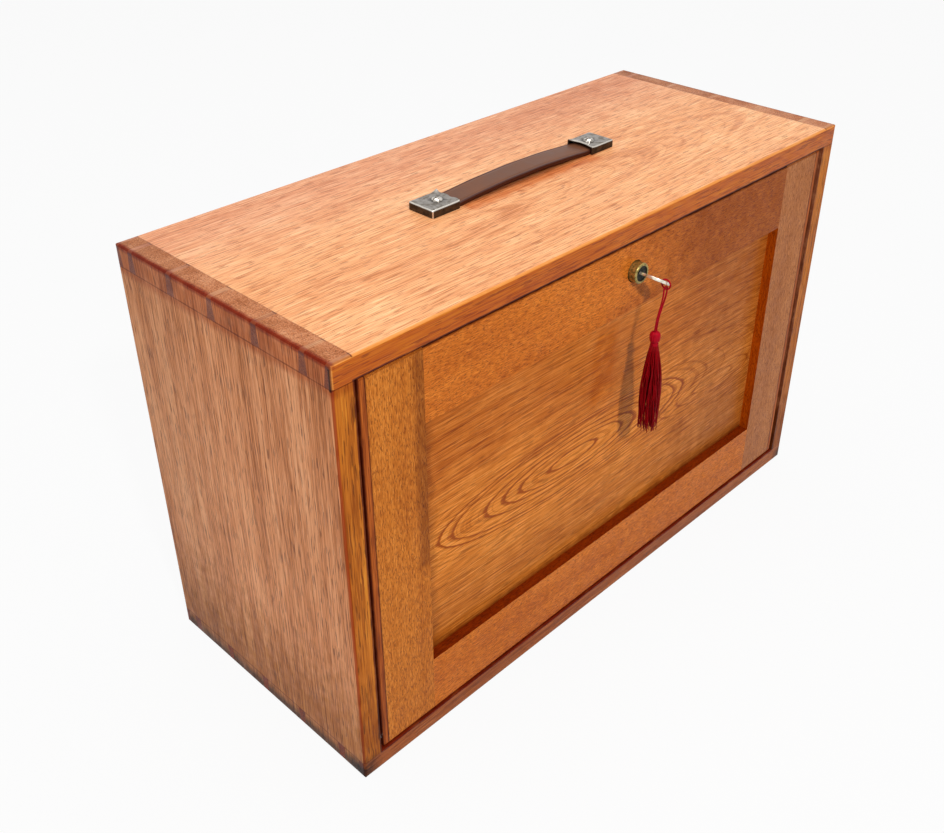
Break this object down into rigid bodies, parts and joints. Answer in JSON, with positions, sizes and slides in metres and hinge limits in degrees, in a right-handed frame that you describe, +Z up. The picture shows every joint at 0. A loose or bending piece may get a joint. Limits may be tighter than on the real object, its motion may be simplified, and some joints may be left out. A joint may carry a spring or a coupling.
{
  "type": "engineers tool chest",
  "caption": "Oak tool chest with a dovetailed case, a locking panelled fall front, sliding drawers inside and a leather carrying handle on top.",
  "frame": {"origin": "centre of the case's underside, on the surface that the chest stands on", "axes": "+Z up, +X to the right of someone facing the front, -Y out of the front"},
  "size_m": [0.508, 0.2401, 0.3277],
  "materials": {
    "case_oak": "varnished, satin",
    "front_oak": "varnished, satin",
    "drawer_front_oak": "varnished, satin",
    "inner_oak": "oiled, matt",
    "inner_panel_oak": "sanded, matt",
    "strap_leather": "worn, satin",
    "cap_steel": "tarnished",
    "screw_nickel": "polished, worn",
    "bright_steel": "ground",
    "key_steel": "polished, worn",
    "lock_brass": "aged",
    "plug_black": "black, satin",
    "knob_brass": "turned, aged",
    "tassel_silk": "silky yarn"
  },
  "bodies": {
    "case": {"case_top": "case_oak", "case_bottom": "case_oak", "case_left_side": "case_oak", "case_right_side": "case_oak", "case_back": "inner_panel_oak", "drawer_shelves": "inner_panel_oak", "centre_partition": "inner_oak", "stop_rail": "inner_oak", "drawer_runners": "inner_oak", "handle_strap": "strap_leather", "handle_cap_left": "cap_steel", "handle_cap_right": "cap_steel", "handle_screws": "screw_nickel"},
    "fall_front": {"front_left_stile": "front_oak", "front_right_stile": "front_oak", "front_top_rail": "front_oak", "front_bottom_rail": "front_oak", "front_panel": "front_oak", "front_lippings": "front_oak", "pivot_pins": "bright_steel", "lock_barrel": "lock_brass", "lock_nut": "lock_brass"},
    "lock_plug": {"lock_plug": "plug_black", "lock_cam": "bright_steel", "cam_screw": "bright_steel"},
    "key": {"key": "key_steel", "cord_hitch": "tassel_silk"},
    "tassel": {"tassel_cord": "tassel_silk", "tassel_head": "tassel_silk", "tassel_skirt": "tassel_silk"},
    "drawer_1": {"drawer_1_front": "drawer_front_oak", "drawer_1_sides": "inner_oak", "drawer_1_back": "inner_oak", "drawer_1_bottom": "inner_panel_oak", "drawer_1_knobs": "knob_brass"},
    "drawer_2": {"drawer_2_front": "drawer_front_oak", "drawer_2_sides": "inner_oak", "drawer_2_back": "inner_oak", "drawer_2_bottom": "inner_panel_oak", "drawer_2_knobs": "knob_brass"},
    "drawer_3": {"drawer_3_front": "drawer_front_oak", "drawer_3_sides": "inner_oak", "drawer_3_back": "inner_oak", "drawer_3_bottom": "inner_panel_oak", "drawer_3_knobs": "knob_brass"},
    "drawer_4": {"drawer_4_front": "drawer_front_oak", "drawer_4_sides": "inner_oak", "drawer_4_back": "inner_oak", "drawer_4_bottom": "inner_panel_oak", "drawer_4_knobs": "knob_brass"},
    "top_drawer_left": {"top_drawer_left_front": "drawer_front_oak", "top_drawer_left_sides": "inner_oak", "top_drawer_left_back": "inner_oak", "top_drawer_left_bottom": "inner_panel_oak", "top_drawer_left_knobs": "knob_brass"},
    "top_drawer_right": {"top_drawer_right_front": "drawer_front_oak", "top_drawer_right_sides": "inner_oak", "top_drawer_right_back": "inner_oak", "top_drawer_right_bottom": "inner_panel_oak", "top_drawer_right_knobs": "knob_brass"}
  },
  "joints": [
    {"name": "front_fall", "type": "hinge", "parent": "case", "child": "fall_front", "pos_m": [0, -0.1005, 0.023], "axis": [1, 0, 0], "range_deg": [0, 84]},
    {"name": "key_turn", "type": "hinge", "parent": "fall_front", "child": "lock_plug", "pos_m": [0.0035, -0.1055, 0.2814], "axis": [0, -1, 0], "range_deg": [0, 90]},
    {"name": "key_withdraw", "type": "slide", "parent": "lock_plug", "child": "key", "axis": [0, -1, 0], "range_m": [0, 0.024]},
    {"name": "tassel_swing", "type": "hinge", "parent": "key", "child": "tassel", "pos_m": [0.0035, -0.13, 0.2772], "axis": [0, -1, 0], "range_deg": [-90, 0]},
    {"name": "drawer_1_slide", "type": "slide", "parent": "case", "child": "drawer_1", "axis": [0, -1, 0], "range_m": [0, 0.14]},
    {"name": "drawer_2_slide", "type": "slide", "parent": "case", "child": "drawer_2", "axis": [0, -1, 0], "range_m": [0, 0.14]},
    {"name": "drawer_3_slide", "type": "slide", "parent": "case", "child": "drawer_3", "axis": [0, -1, 0], "range_m": [0, 0.14]},
    {"name": "drawer_4_slide", "type": "slide", "parent": "case", "child": "drawer_4", "axis": [0, -1, 0], "range_m": [0, 0.14]},
    {"name": "top_drawer_left_slide", "type": "slide", "parent": "case", "child": "top_drawer_left", "axis": [0, -1, 0], "range_m": [0, 0.14]},
    {"name": "top_drawer_right_slide", "type": "slide", "parent": "case", "child": "top_drawer_right", "axis": [0, -1, 0], "range_m": [0, 0.14]}
  ],
  "couplings": [
    {"joint": "tassel_swing", "follows": "key_turn", "ratio": -1},
    {"joint": "drawer_1_slide", "follows": "front_fall", "m_per_rad": 0.038879},
    {"joint": "drawer_2_slide", "follows": "front_fall", "m_per_rad": 0.095492},
    {"joint": "drawer_3_slide", "follows": "front_fall", "m_per_rad": 0.095492},
    {"joint": "drawer_4_slide", "follows": "front_fall", "m_per_rad": 0.095492},
    {"joint": "top_drawer_left_slide", "follows": "front_fall", "m_per_rad": 0.095492},
    {"joint": "top_drawer_right_slide", "follows": "front_fall", "m_per_rad": 0.095492}
  ]
}
